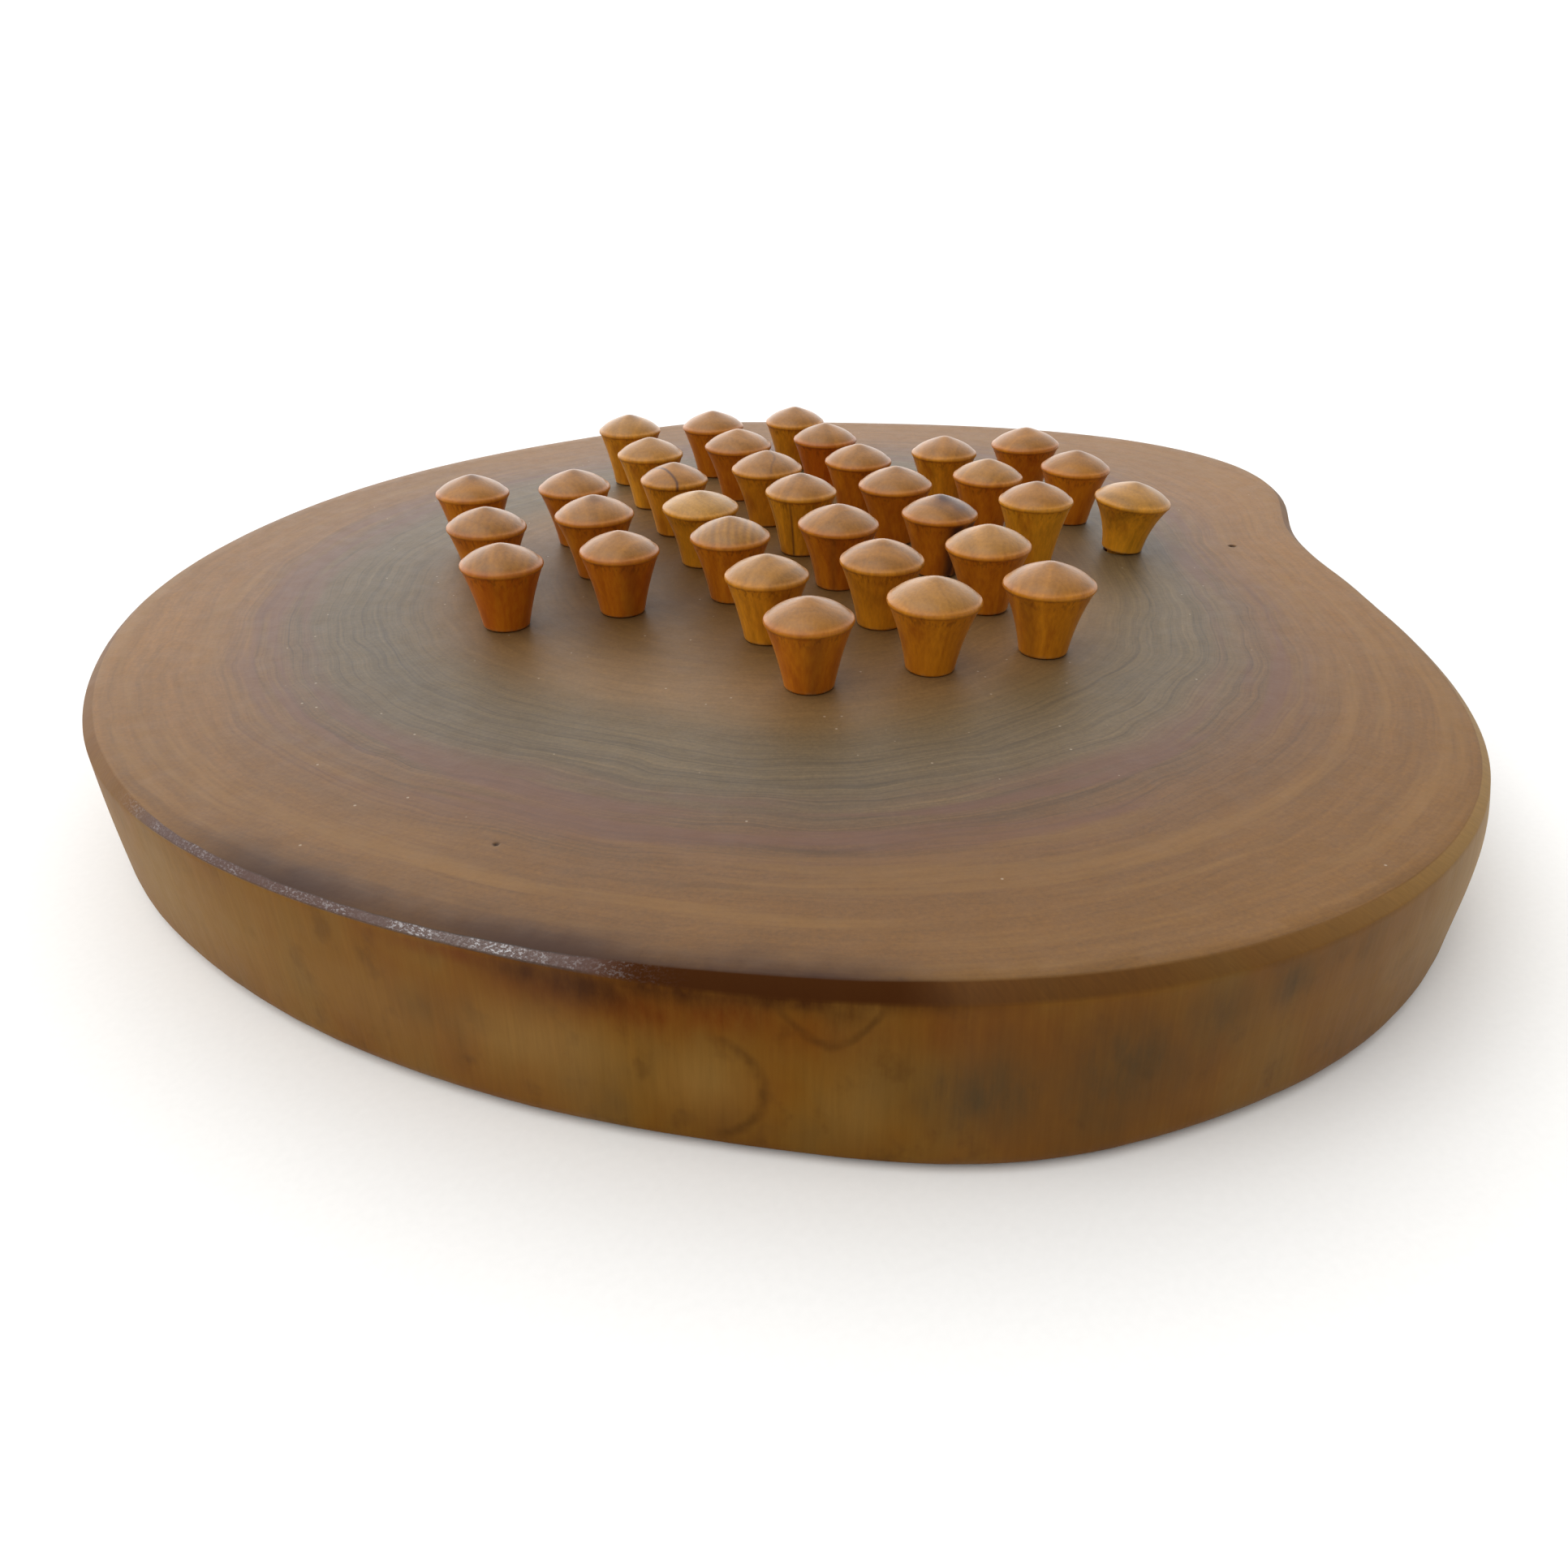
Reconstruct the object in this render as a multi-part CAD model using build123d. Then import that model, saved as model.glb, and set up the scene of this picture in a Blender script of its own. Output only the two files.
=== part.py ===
"""Peg solitaire: a slice of a tree trunk with 33 loose turned pegs, one in each hole of the cross.

Frame: +Z up, +Y away from the player. The origin is on the underside, below the middle hole.
Units are millimetres. Columns are lettered a to g along +X, and rows numbered 1 to 7 along +Y.
Each peg is a separate solid. Its stem stands in its hole with play, so the pegs lean a little.
"""

import math
import os

from build123d import *

# The slab
SLAB_THICKNESS = 26.0
TOP_EDGE_EASING = 1.7
BOTTOM_EDGE_EASING = 3.0

# The trunk's outline, anticlockwise from the far side, with a hollow on the right where a limb forked off.
SLAB_OUTLINE = [
    (2, 124.5),
    (-31, 116),
    (-77, 94),
    (-111, 60.5),
    (-131, 22),
    (-137, -20),
    (-131, -58),
    (-113, -91),
    (-86, -118),
    (-51, -140),
    (-8, -152),
    (34, -145),
    (62, -126),
    (85, -92),
    (99.5, -54),
    (113, -20),
    (128.5, 3),
    (135, 27),
    (128, 55),
    (105, 82),
    (62, 107),
    (30, 120),
]

# The holes
HOLE_PITCH = 22.0
HOLE_RADIUS = 3.4
HOLE_DEPTH = 14.0
HOLE_MOUTH_CHAMFER = 0.3

# A typical peg, measured from the board's face
BASE_RADIUS = 4.3
BASE_ROUNDING = 0.5
RIM_RADIUS = 7.7
RIM_HEIGHT = 12.6
RIM_THICKNESS = 0.9
CAP_HEIGHT = 3.5
STEM_LENGTH = 11.0
STEM_RADIUS = 2.9
STEM_TIP_RADIUS = 2.3
STEM_TIP_CHAMFER = 0.5

# The pegs are turned by hand, so they differ from the typical peg. Each turning adds to its rim radius,
# rim height and cap height, and then has its waist: above 1 it hollows the flare more, like a trumpet.
TURNINGS = {
    "o": (0.0, 0.0, 0.0, 1.0),
    "w": (0.3, 0.2, 0.1, 1.1),
    "s": (-0.2, -0.4, -0.1, 0.9),
    "t": (-0.1, 0.7, 0.0, 1.0),
    "f": (0.2, -0.4, -0.5, 1.2),
    "l": (0.3, -1.4, -0.2, 1.7),
}
# Which turning stands in which hole, row 7 first; a dot is no hole.
BOARD_MAP = [
    "..tos..",
    "..owo..",
    "toswoow",
    "owftwoo",
    "ssowotl",
    "..sow..",
    "..sww..",
]
COLUMN_LETTERS = "abcdefg"
MIDDLE = 3

# How far a peg leans in the play of its hole, in degrees, and towards which heading, anticlockwise from +X.
USUAL_LEAN = 0.7
LEANS = {
    "a3": (1.5, -20),
    "a4": (2.0, -30),
    "a5": (1.5, 10),
    "e2": (1.5, 160),
    "g3": (5.0, -40),
    "g4": (1.5, -60),
    "g5": (1.5, 170),
}
HEADING_STEP = 137.5
# A leaning stem crosses its hole's axis this far down, which keeps it clear of the wall at both ends.
CROSSING_DEPTH = 2.0
CONTACT_GAP = 0.02


def hole_places():
    """Yields each hole's name, its centre on the board, and the letter of the turning that stands in it."""
    for line_number, line in enumerate(BOARD_MAP):
        row = len(BOARD_MAP) - line_number
        for column, letter in enumerate(line):
            if letter != ".":
                x = (column - MIDDLE) * HOLE_PITCH
                y = (row - 1 - MIDDLE) * HOLE_PITCH
                yield f"{COLUMN_LETTERS[column]}{row}", x, y, letter


def make_board():
    """The slab, with eased edges and 33 blind holes."""
    outline = make_face(Spline(*SLAB_OUTLINE, periodic=True))
    slab = extrude(outline, SLAB_THICKNESS)
    slab = fillet(slab.edges().group_by(Axis.Z)[-1], TOP_EDGE_EASING)
    slab = fillet(slab.edges().group_by(Axis.Z)[0], BOTTOM_EDGE_EASING)
    hole_profile = Polyline(
        (0, SLAB_THICKNESS - HOLE_DEPTH),
        (HOLE_RADIUS, SLAB_THICKNESS - HOLE_DEPTH),
        (HOLE_RADIUS, SLAB_THICKNESS - HOLE_MOUTH_CHAMFER),
        (HOLE_RADIUS + HOLE_MOUTH_CHAMFER, SLAB_THICKNESS),
        (HOLE_RADIUS + HOLE_MOUTH_CHAMFER, SLAB_THICKNESS + HOLE_DEPTH),
        (0, SLAB_THICKNESS + HOLE_DEPTH),
        close=True,
    )
    drill = revolve(Plane.XZ * make_face(hole_profile), Axis.Z)
    return slab - [Pos(x, y, 0) * drill for _, x, y, _ in hole_places()]


def make_peg(letter):
    """A turned peg with its shoulder at height 0: stem below, flared body, rim and pointed cap above."""
    rim_extra, height_extra, cap_extra, waist = TURNINGS[letter]
    rim_radius = RIM_RADIUS + rim_extra
    rim_top = RIM_HEIGHT + height_extra
    rim_bottom = rim_top - RIM_THICKNESS
    apex = rim_top + CAP_HEIGHT + cap_extra
    flare = rim_radius - BASE_RADIUS

    stem = Polyline(
        (0, -STEM_LENGTH),
        (STEM_TIP_RADIUS - STEM_TIP_CHAMFER, -STEM_LENGTH),
        (STEM_TIP_RADIUS, STEM_TIP_CHAMFER - STEM_LENGTH),
        (STEM_RADIUS, 0),
        (BASE_RADIUS - BASE_ROUNDING, 0),
    )
    base = RadiusArc(stem @ 1, (BASE_RADIUS, BASE_ROUNDING), -BASE_ROUNDING)
    body = Spline(
        base @ 1,
        (BASE_RADIUS + flare * 0.24 / waist, rim_top * 0.42),
        (BASE_RADIUS + flare * 0.53 / waist, rim_top * 0.70),
        (rim_radius - 0.35, rim_bottom),
        tangents=[(0.06, 1), (1, 1)],
    )
    rim = ThreePointArc(
        body @ 1,
        (rim_radius, rim_bottom + RIM_THICKNESS * 0.45),
        (rim_radius - 0.25, rim_top),
    )
    cap = Spline(
        rim @ 1,
        (rim_radius * 0.60, rim_top + (apex - rim_top) * 0.58),
        (rim_radius * 0.20, rim_top + (apex - rim_top) * 0.92),
        (0, apex),
        tangents=[(-1, 0.62), (-1, 0)],
    )
    axis = Line(cap @ 1, (0, -STEM_LENGTH))
    profile = make_face([stem, base, body, rim, cap, axis])
    return revolve(Plane.XZ * profile, Axis.Z)


def peg_place(index, name, x, y):
    """Where a peg stands: leaning by its hole's play, with the low side of its shoulder on the board."""
    lean, heading = LEANS.get(name, (USUAL_LEAN, index * HEADING_STEP))
    lean_radians = math.radians(lean)
    heading_radians = math.radians(heading)
    sideways = CROSSING_DEPTH * math.sin(lean_radians)
    foot = BASE_RADIUS - BASE_ROUNDING
    lift = foot * math.sin(lean_radians) + BASE_ROUNDING * (1 - math.cos(lean_radians)) + CONTACT_GAP
    stand = Pos(
        x + sideways * math.cos(heading_radians),
        y + sideways * math.sin(heading_radians),
        SLAB_THICKNESS + lift,
    )
    tilt_axis = Axis((0, 0, 0), (-math.sin(heading_radians), math.cos(heading_radians), 0))
    return stand, tilt_axis, lean


def main():
    os.makedirs("parts", exist_ok=True)
    export_step(make_board(), "parts/board.step")
    turned = {letter: make_peg(letter) for letter in TURNINGS}
    for index, (name, x, y, letter) in enumerate(hole_places()):
        stand, tilt_axis, lean = peg_place(index, name, x, y)
        peg = stand * turned[letter].rotate(tilt_axis, lean)
        export_step(peg, f"parts/peg_{name}.step")


main()
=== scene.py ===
"""Looks of the peg solitaire: a lacquered slice of a trunk and its 33 turned pegs, in the CAD model's frame.

Lengths are in metres, written as millimetres times MM. Headings are anticlockwise from +X, seen from above.
"""

import math

import bmesh
import bpy
import numpy as np
from mathutils import Matrix, Vector, geometry, noise


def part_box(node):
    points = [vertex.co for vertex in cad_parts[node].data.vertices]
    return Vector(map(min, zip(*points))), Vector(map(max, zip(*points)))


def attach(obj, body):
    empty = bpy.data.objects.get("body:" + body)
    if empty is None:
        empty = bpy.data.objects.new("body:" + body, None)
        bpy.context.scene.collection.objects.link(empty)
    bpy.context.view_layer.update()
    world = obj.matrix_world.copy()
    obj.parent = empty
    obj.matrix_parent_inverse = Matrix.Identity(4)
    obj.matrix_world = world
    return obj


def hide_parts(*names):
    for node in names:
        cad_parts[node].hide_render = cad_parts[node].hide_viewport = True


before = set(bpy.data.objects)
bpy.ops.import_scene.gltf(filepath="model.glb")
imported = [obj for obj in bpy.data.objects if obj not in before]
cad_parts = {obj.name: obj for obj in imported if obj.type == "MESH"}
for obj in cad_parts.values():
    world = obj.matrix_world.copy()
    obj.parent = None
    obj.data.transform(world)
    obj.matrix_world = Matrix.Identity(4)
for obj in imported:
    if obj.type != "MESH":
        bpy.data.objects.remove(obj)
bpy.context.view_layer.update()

MM = 0.001

# ---------------------------------------------------------------- camera, light and floor

# The viewer stands in front of the board, a little to the left, and looks down at it.
CAMERA_PLACE = (-86.3 * MM, -239.9 * MM, 111.3 * MM)
CAMERA_HEADING = math.radians(-18.97)
CAMERA_DIP = math.radians(29.33)
CAMERA_ROLL = math.radians(-0.14)
CAMERA_LENS = 27.96


def make_camera():
    data = bpy.data.cameras.new("camera")
    data.lens = CAMERA_LENS
    data.clip_start = 5 * MM
    camera = bpy.data.objects.new("camera", data)
    bpy.context.collection.objects.link(camera)
    camera.matrix_world = (
        Matrix.Translation(CAMERA_PLACE)
        @ Matrix.Rotation(CAMERA_HEADING, 4, "Z")
        @ Matrix.Rotation(math.pi / 2 - CAMERA_DIP, 4, "X")
        @ Matrix.Rotation(CAMERA_ROLL, 4, "Z")
    )
    bpy.context.scene.camera = camera


def make_soft_sun(heading, elevation, spread, strength, colour):
    """A far and very wide soft light, from that heading and elevation."""
    data = bpy.data.lights.new("soft_key", "SUN")
    data.angle = math.radians(spread)
    data.energy = strength
    data.color = colour
    light = bpy.data.objects.new("soft_key", data)
    bpy.context.collection.objects.link(light)
    turn, rise = math.radians(heading), math.radians(elevation)
    towards = Vector((math.cos(turn) * math.cos(rise), math.sin(turn) * math.cos(rise), math.sin(rise)))
    light.rotation_euler = (-towards).to_track_quat("-Z", "Y").to_euler()


# How steeply the sky brightens towards the far side.
SKY_CURVE = 2.8


def make_world(front, back):
    """An even sky that brightens from the viewer's side to the far side."""
    world = bpy.data.worlds.new("studio")
    bpy.context.scene.world = world
    world.use_nodes = True
    tree = world.node_tree
    direction = tree.nodes.new("ShaderNodeTexCoord")
    parts = tree.nodes.new("ShaderNodeSeparateXYZ")
    rise = tree.nodes.new("ShaderNodeMapRange")
    curve = tree.nodes.new("ShaderNodeMath")
    strength = tree.nodes.new("ShaderNodeMapRange")
    background = tree.nodes["Background"]
    tree.links.new(direction.outputs["Generated"], parts.inputs[0])
    tree.links.new(parts.outputs["Y"], rise.inputs["Value"])
    tree.links.new(rise.outputs[0], curve.inputs[0])
    tree.links.new(curve.outputs[0], strength.inputs["Value"])
    tree.links.new(strength.outputs[0], background.inputs["Strength"])
    rise.inputs["From Min"].default_value = -1.0
    curve.operation = "POWER"
    curve.inputs[1].default_value = SKY_CURVE
    strength.inputs["To Min"].default_value = front
    strength.inputs["To Max"].default_value = back
    background.inputs["Color"].default_value = (1.0, 1.0, 1.0, 1.0)


FLOOR_RADII = (0.5, 1.5, 5.0, 20.0)
FLOOR_STEPS = 64


def make_floor():
    """A pale floor, flat and wide enough to meet the sky."""
    vertices, faces = [(0, 0, 0)], []
    for radius in FLOOR_RADII:
        for k in range(FLOOR_STEPS):
            turn = 2 * math.pi * k / FLOOR_STEPS
            vertices.append((radius * math.cos(turn), radius * math.sin(turn), 0))
    for k in range(FLOOR_STEPS):
        following = (k + 1) % FLOOR_STEPS
        faces.append((0, 1 + k, 1 + following))
        for row in range(len(FLOOR_RADII) - 1):
            a, b = 1 + row * FLOOR_STEPS + k, 1 + row * FLOOR_STEPS + following
            faces.append((a, a + FLOOR_STEPS, b + FLOOR_STEPS, b))
    mesh = bpy.data.meshes.new("floor")
    mesh.from_pydata(vertices, [], faces)
    floor = bpy.data.objects.new("floor", mesh)
    bpy.context.collection.objects.link(floor)
    paper = Shader("floor_paper")
    grain = paper.noise(paper.scaled(paper.position(), 900), detail=2)
    paper.finish(
        colour=paper.mix(grain, (0.88, 0.88, 0.88), (0.92, 0.92, 0.92)),
        roughness=0.9,
        specular=0.1,
        bump=grain,
        bump_height=0.01 * MM,
    )
    mesh.materials.append(paper.material)


# ---------------------------------------------------------------- shader building


class Shader:
    """A material with one Principled surface, and short names for the nodes that feed it."""

    def __init__(self, name):
        self.material = bpy.data.materials.new(name)
        self.material.use_nodes = True
        self.tree = self.material.node_tree
        self.surface = self.tree.nodes["Principled BSDF"]

    def add(self, kind, inputs, output=0, **settings):
        node = self.tree.nodes.new(kind)
        for key, value in settings.items():
            setattr(node, key, value)
        for key, value in inputs.items():
            self.feed(node.inputs[key], value)
        return node.outputs[output]

    def feed(self, socket, value):
        if isinstance(value, bpy.types.NodeSocket):
            self.tree.links.new(value, socket)
        elif isinstance(value, tuple) and len(value) == 3 and socket.type == "RGBA":
            socket.default_value = (*value, 1.0)
        else:
            socket.default_value = value

    def position(self):
        return self.add("ShaderNodeTexCoord", {}, output="Object")

    def attribute(self, name, output="Fac"):
        return self.add("ShaderNodeAttribute", {}, output=output, attribute_name=name)

    def scaled(self, vector, factor):
        """The vector times a number, or times one number for each axis."""
        factors = factor if isinstance(factor, tuple) else (factor,) * 3
        return self.add("ShaderNodeVectorMath", {0: vector, 1: factors}, operation="MULTIPLY")

    def join(self, x, y, z):
        return self.add("ShaderNodeCombineXYZ", {0: x, 1: y, 2: z})

    def split(self, vector):
        node = self.tree.nodes.new("ShaderNodeSeparateXYZ")
        self.tree.links.new(vector, node.inputs[0])
        return node.outputs[0], node.outputs[1], node.outputs[2]

    def math(self, operation, a, b=0.0, c=0.0):
        return self.add("ShaderNodeMath", {0: a, 1: b, 2: c}, operation=operation)

    def times(self, product, *factors):
        for factor in factors:
            product = self.math("MULTIPLY", product, factor)
        return product

    def line(self, value, gain, start):
        """The value times the gain, plus the start."""
        return self.math("MULTIPLY_ADD", value, gain, start)

    def factor(self, noise, depth, middle=1.0):
        """Noise made into a factor that varies about the middle."""
        return self.line(self.math("SUBTRACT", noise, 0.5), depth, middle)

    def shift(self, noise, size):
        """Noise made into a shift to either side, of half the size at most."""
        return self.line(noise, size, -size / 2)

    def noise(self, vector, scale=1.0, detail=3.0, roughness=0.5):
        """Noise from 0 to 1, about 0.5 on average, with features one unit of the vector across at scale 1."""
        inputs = {"Vector": vector, "Scale": scale, "Detail": detail, "Roughness": roughness}
        return self.add("ShaderNodeTexNoise", inputs)

    def step(self, value, start, end):
        """Rises smoothly from 0 to 1 as the value goes from start to end. End may be below start."""
        inputs = {"Value": value, "From Min": start, "From Max": end}
        return self.add("ShaderNodeMapRange", inputs, interpolation_type="SMOOTHSTEP")

    def mix(self, share, a, b):
        """From a at share 0 to b at share 1."""
        node = self.tree.nodes.new("ShaderNodeMix")
        node.data_type = "RGBA"
        node.clamp_factor = True
        self.feed(node.inputs[0], share)
        self.feed(node.inputs[6], a)
        self.feed(node.inputs[7], b)
        return node.outputs[2]

    def lay(self, base, colour, *shares):
        """The colour laid over the base, in the product of the shares."""
        return self.mix(self.times(*shares), base, colour)

    def ramp(self, value, stops):
        """A colour ramp through (position, colour) stops."""
        node = self.tree.nodes.new("ShaderNodeValToRGB")
        node.color_ramp.interpolation = "B_SPLINE"
        elements = node.color_ramp.elements
        while len(elements) < len(stops):
            elements.new(0.5)
        for element, (place, colour) in zip(elements, stops):
            element.position = place
            element.color = (*colour, 1.0)
        self.tree.links.new(value, node.inputs[0])
        return node.outputs[0]

    def specks(self, vector, scale, size, share):
        """1 in small round specks: one to each cell of the scale, in that share of the cells."""
        node = self.tree.nodes.new("ShaderNodeTexVoronoi")
        self.feed(node.inputs["Vector"], vector)
        self.feed(node.inputs["Scale"], scale)
        chance = self.split(node.outputs["Color"])[0]
        chosen = self.math("LESS_THAN", chance, share)
        return self.times(chosen, self.step(node.outputs["Distance"], size, size * 0.5))

    def tint(self, colour, amount):
        """The colour times a number."""
        return self.add("ShaderNodeVectorMath", {0: colour, 3: amount}, operation="SCALE")

    def finish(self, colour, roughness, specular, bump, bump_height):
        inputs = {"Height": bump, "Strength": 1.0, "Distance": bump_height}
        self.feed(self.surface.inputs["Base Color"], colour)
        self.feed(self.surface.inputs["Roughness"], roughness)
        self.feed(self.surface.inputs["Specular IOR Level"], specular)
        self.feed(self.surface.inputs["Normal"], self.add("ShaderNodeBump", inputs))


# ---------------------------------------------------------------- mesh help


def vertices_of(mesh):
    points = np.empty(len(mesh.vertices) * 3)
    mesh.vertices.foreach_get("co", points)
    return points.reshape(-1, 3)


def put_attribute(mesh, name, values, kind="FLOAT"):
    attribute = mesh.attributes.new(name, kind, "POINT")
    attribute.data.foreach_set("vector" if kind == "FLOAT_VECTOR" else "value", np.ravel(values).astype(np.float32))


def smooth_step(values, start, end):
    share = np.clip((np.asarray(values, float) - start) / (end - start), 0, 1)
    return share * share * (3 - 2 * share)


def wave_noise(points, size, seed):
    """Smooth noise from -1 to 1 at each point, with features of that size."""
    shift = Vector((seed * 7.3, seed * 3.1, seed * 5.7))
    return np.array([noise.noise(Vector(p) / size + shift) for p in points])


def add_piece(name, mesh, body, node):
    piece = bpy.data.objects.new(name, mesh)
    bpy.context.collection.objects.link(piece)
    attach(piece, body)
    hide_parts(node)


# ---------------------------------------------------------------- the board

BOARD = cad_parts["board"]
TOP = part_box("board")[1].z
PEGS = [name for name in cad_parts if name.startswith("peg_")]

OUTLINE_STEPS = 720
OUTLINE_WAVES = 40
BOTTOM_ROUNDING = 3.0 * MM
PITH = np.array([-10.0, -10.0]) * MM


def read_outline():
    """The slab's outline as points at even headings, from the CAD wall, smoothed over its facets."""
    points = vertices_of(BOARD.data)
    reach = np.hypot(points[:, 0], points[:, 1])
    wall = points[(reach > 90 * MM) & (points[:, 2] > TOP * 0.3) & (points[:, 2] < TOP * 0.7)]
    heading = np.arctan2(wall[:, 1], wall[:, 0])
    order = np.argsort(heading)
    turns = np.linspace(-math.pi, math.pi, OUTLINE_STEPS, endpoint=False)
    radii = np.interp(turns, heading[order], np.hypot(wall[:, 0], wall[:, 1])[order], period=2 * math.pi)
    waves = np.fft.rfft(radii)
    waves[OUTLINE_WAVES:] = 0
    radii = np.fft.irfft(waves, OUTLINE_STEPS)
    return turns, np.stack([radii * np.cos(turns), radii * np.sin(turns)], axis=1)


def read_holes():
    """Each hole's centre, and the radius and floor height that all of them share, from the CAD board."""
    points = vertices_of(BOARD.data)
    inside = points[(points[:, 2] > TOP * 0.4) & (points[:, 2] < TOP * 0.95)]
    centres = []
    for peg in PEGS:
        low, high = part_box(peg)
        middle = (low + high) / 2
        near = inside[np.hypot(inside[:, 0] - middle.x, inside[:, 1] - middle.y) < 8 * MM]
        centres.append((near.min(axis=0) + near.max(axis=0))[:2] / 2)
    radius = (near[:, 0].max() - near[:, 0].min()) / 2
    return np.array(centres), radius, near[:, 2].min()


HEADINGS, OUTLINE = read_outline()
ALONG = np.roll(OUTLINE, -1, axis=0) - np.roll(OUTLINE, 1, axis=0)
OUTWARD = np.stack([ALONG[:, 1], -ALONG[:, 0]], axis=1) / np.hypot(ALONG[:, 0], ALONG[:, 1])[:, None]
HOLES, HOLE_RADIUS, HOLE_FLOOR = read_holes()


def hump(headings, centre, spread):
    """1 at the heading centre, falling to 0 over the spread. Both are in degrees."""
    away = (np.degrees(headings) - centre + 180) % 360 - 180
    return np.exp(-((away / spread) ** 2))


def between(headings, start, end, blur):
    """1 between two headings, anticlockwise, with ends that fade over the blur. All are in degrees."""
    turn = (np.degrees(headings) - start) % 360
    width = (end - start) % 360
    turn = np.where(turn > width / 2 + 180, turn - 360, turn)
    return smooth_step(turn, -blur / 2, blur / 2) * (1 - smooth_step(turn, width - blur / 2, width + blur / 2))


# Headings of what the edge shows: the glossy strip, the dark stain beside it, and the brown edge at the front.
STRIP = (-150, -119)
STAIN = (-144, -105)
BROWN_EDGE = (-120, -103)
# Where the wall leaves the CAD outline: (heading, spread, how far). Its foot swells out at the front, the wall is
# barrelled at the right front, and at the left it leans in towards its foot.
FOOT_SWELL = (-100.6, 8.5, 2.0 * MM)
BARREL = (-62, 12, 1.4 * MM)
LEAN_IN = (-150, 17, 2.0 * MM)
# Loops of points down the worn edge, the wall and the rounding at its foot.
EDGE_LOOPS = 12
WALL_LOOPS = 24
FOOT_LOOPS = 8
# The worn edge's section: 2 would be a straight chamfer, and 1 a quarter of a circle.
EDGE_POWER = 1.75


def edge_width(headings):
    """How far the worn edge comes down the wall: least at the front left, most at the front."""
    strip = between(headings, *STRIP, 16)
    return (1.5 - 0.5 * strip + 0.35 * hump(headings, -98, 18) - 0.6 * hump(headings, -58, 26)) * MM


def wall_shift(down):
    """How far the wall leaves the CAD outline. Down is 0 at the top face and 1 at the underside."""
    shift = np.zeros_like(down)
    barrel = np.sin(math.pi * down**0.72) ** 1.6
    for (heading, spread, far), section in ((FOOT_SWELL, down), (BARREL, barrel), (LEAN_IN, -(down**1.5))):
        shift += far * hump(HEADINGS, heading, spread)[:, None] * section
    return shift


def slab_rows():
    """The slab's side as rows of points, from the top face's edge down to the underside's edge."""
    width = edge_width(HEADINGS)[:, None]
    reach = width * (1.35 - 0.35 * between(HEADINGS, *STRIP, 16)[:, None])
    places = np.hstack([OUTLINE, np.zeros((OUTLINE_STEPS, 1))])
    ragged = wave_noise(places, 3.0 * MM, 1)[:, None] * (0.06 + 0.14 * between(HEADINGS, *STRIP, 10)[:, None]) * MM
    rows = []
    for bend in np.linspace(0, math.pi / 2, EDGE_LOOPS):
        inset = reach * (1 - math.sin(bend) ** EDGE_POWER)
        drop = width * (1 - math.cos(bend) ** EDGE_POWER)
        rows.append((inset + ragged * math.cos(bend), TOP - drop))
    foot_drop = TOP - BOTTOM_ROUNDING
    for share in np.linspace(0, 1, WALL_LOOPS + 1)[1:]:
        rows.append((np.zeros_like(width), TOP - (width + (foot_drop - width) * share)))
    for bend in np.linspace(0, math.pi / 2, FOOT_LOOPS + 1)[1:]:
        inset, height = BOTTOM_ROUNDING * (1 - math.cos(bend)), BOTTOM_ROUNDING * (1 - math.sin(bend))
        rows.append((np.full_like(width, inset), np.full_like(width, height)))
    points = []
    for inset, height in rows:
        down = np.clip((TOP - height) / TOP, 0, 1)
        places = np.hstack([OUTLINE, height])
        uneven = wave_noise(places, 28 * MM, 2)[:, None] * 0.25 * MM
        uneven = uneven + wave_noise(places * (1, 1, 0.15), 4 * MM, 3)[:, None] * 0.05 * MM
        outward = uneven * np.minimum(down * 4, 1) + wall_shift(down) - inset
        points.append(np.hstack([OUTLINE + OUTWARD * outward, height]))
    return points


def outline_distance(points):
    """How far each point is from the outline, and the index of the nearest outline point."""
    distance, nearest = [], []
    for block in np.array_split(points[:, :2], max(1, len(points) // 4000)):
        gaps = np.hypot(block[:, None, 0] - OUTLINE[None, :, 0], block[:, None, 1] - OUTLINE[None, :, 1])
        nearest.append(gaps.argmin(axis=1))
        distance.append(gaps.min(axis=1))
    return np.concatenate(distance), np.concatenate(nearest)


def hole_distance(points):
    """How far each point is from the axis of the nearest hole."""
    return np.hypot(points[:, None, 0] - HOLES[None, :, 0], points[:, None, 1] - HOLES[None, :, 1]).min(axis=1)


HOLE_STEPS = 40
HOLE_TURNS = np.linspace(0, 2 * math.pi, HOLE_STEPS, endpoint=False)
HOLE_CIRCLE = np.stack([np.cos(HOLE_TURNS), np.sin(HOLE_TURNS)], axis=1)
MOUTH = 0.3 * MM
# How far apart the top face's points are, and how near they come to the edge.
TOP_SPACING = 2.2 * MM
TOP_MARGIN = 3.6 * MM


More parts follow.
